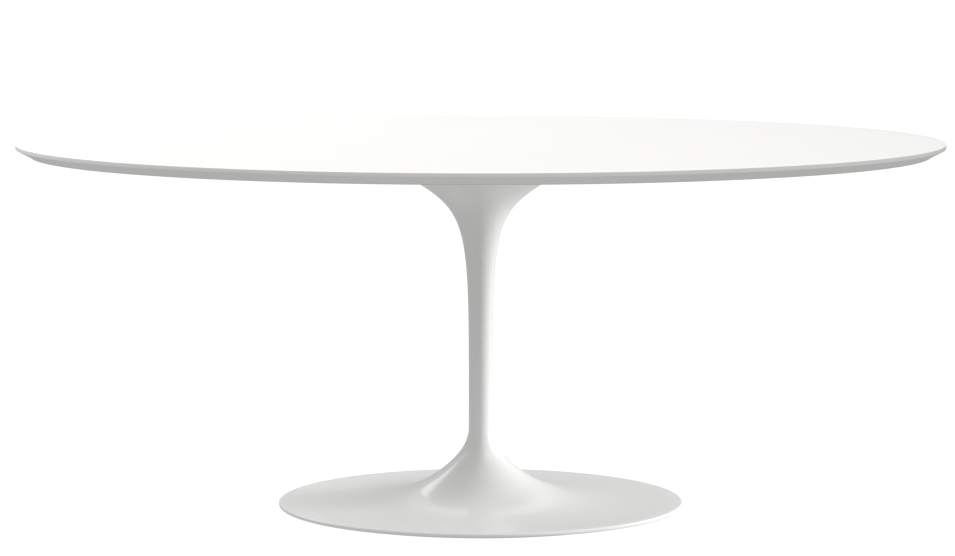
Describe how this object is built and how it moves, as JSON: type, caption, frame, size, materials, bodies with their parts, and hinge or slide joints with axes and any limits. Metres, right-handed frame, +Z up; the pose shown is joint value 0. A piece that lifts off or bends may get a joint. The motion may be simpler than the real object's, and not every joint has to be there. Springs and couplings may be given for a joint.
{
  "type": "oval pedestal table",
  "caption": "White pedestal dining table: a thin oval top with a bevelled edge on one hollow trumpet-shaped pedestal with an oval foot.",
  "frame": {"origin": "on the floor, at the middle of the foot and straight under the middle of the top", "axes": "+X along the long side of the oval top, +Y along its short side, +Z up"},
  "size_m": [1.8, 1.1, 0.73],
  "materials": {
    "laminate": "satin white laminate",
    "lacquered_board": "fibreboard with a white lacquered edge",
    "brass": "turned",
    "rubber": "moulded, matt",
    "plate_paint": "black powder coat on steel",
    "zinc_steel": "zinc plated",
    "coated_casting": "cast aluminium with a smooth gloss white coat",
    "nylon": "natural nylon",
    "cast_iron": "as cast",
    "cover_board": "black moulded sheet"
  },
  "bodies": {
    "root": {"top_laminate": "laminate", "tabletop_core": "lacquered_board", "backing_laminate": "laminate", "threaded_inserts": "brass", "mouth_gasket": "rubber", "mounting_plate": "plate_paint", "plate_bolts": "zinc_steel", "plate_washers": "zinc_steel", "rod_hub": "plate_paint", "pedestal_shell": "coated_casting", "rod_bush": "nylon", "tie_rod": "zinc_steel", "ballast": "cast_iron", "rod_washer": "zinc_steel", "clamp_nut": "zinc_steel", "lock_nut": "zinc_steel", "base_cover": "cover_board", "cover_screws": "zinc_steel", "floor_ring": "rubber", "access_plug": "rubber"}
  },
  "joints": []
}
